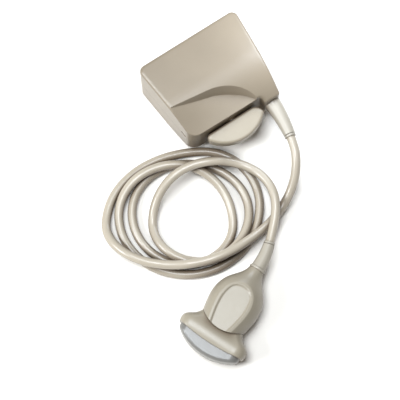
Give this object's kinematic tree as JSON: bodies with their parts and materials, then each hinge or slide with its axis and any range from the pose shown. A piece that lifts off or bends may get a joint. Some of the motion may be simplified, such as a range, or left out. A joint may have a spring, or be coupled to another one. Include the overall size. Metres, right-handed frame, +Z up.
{
  "type": "ultrasound transducer probe",
  "caption": "Curved-array ultrasound probe with an egg-shaped grip, its coiled cable, and a scanner connector with a turning locking knob.",
  "frame": {"origin": "on the floor, under the middle of the box of the probe and the connector", "axes": "+Y from the probe to the connector, +Z up from the floor"},
  "size_m": [0.1765, 0.3043, 0.058],
  "materials": {
    "housing_plastic": "fine satin moulding",
    "knob_plastic": "satin moulding",
    "probe_plastic": "fine satin moulding",
    "lens_silicone": "smooth silicone",
    "cable_jacket": "soft satin jacket",
    "boot_rubber": "matt",
    "steel": "turned",
    "plug_metal": "matt plated",
    "insulator": "matt",
    "contact_metal": "plated",
    "bronze": "turned",
    "seal_rubber": "matt",
    "board": "laminate",
    "components": "moulded",
    "ribbon": "film",
    "coax": "bundle",
    "matching": "filled resin",
    "element_ceramic": "diced ceramic",
    "backing": "filled resin"
  },
  "bodies": {
    "probe_and_connector": {"acoustic_lens": "lens_silicone", "matching_layer": "matching", "crystal_array": "element_ceramic", "backing_block": "backing", "array_frame": "plug_metal", "nose_shell": "probe_plastic", "handle_front_shell": "probe_plastic", "handle_back_shell": "probe_plastic", "flex_circuits": "ribbon", "probe_board": "board", "coax_connectors": "components", "probe_coax_fan": "coax", "probe_ferrule": "steel", "probe_collar": "boot_rubber", "probe_boot": "boot_rubber", "probe_cable_end": "cable_jacket", "cable_coil": "cable_jacket", "connector_lead": "cable_jacket", "probe_lead": "cable_jacket", "upper_cover": "housing_plastic", "lower_cover": "housing_plastic", "shaft_bushing": "bronze", "shaft_seal": "seal_rubber", "plug_shell": "plug_metal", "plug_body": "insulator", "contact_strips": "contact_metal", "connector_board": "board", "tuning_inductors": "components", "connector_coax_fan": "coax", "connector_ferrule": "steel", "connector_boot": "boot_rubber", "connector_cable_end": "cable_jacket", "housing_screws": "steel"},
    "knob": {"locking_knob": "knob_plastic", "knob_shaft": "steel", "knob_pin": "steel", "retaining_clip": "steel"}
  },
  "joints": [
    {"name": "knob_turn", "type": "hinge", "parent": "probe_and_connector", "child": "knob", "pos_m": [0.0119, 0.061, 0.029], "axis": [-0.5519, 0.8339, 0], "range_deg": [0, 90]}
  ]
}
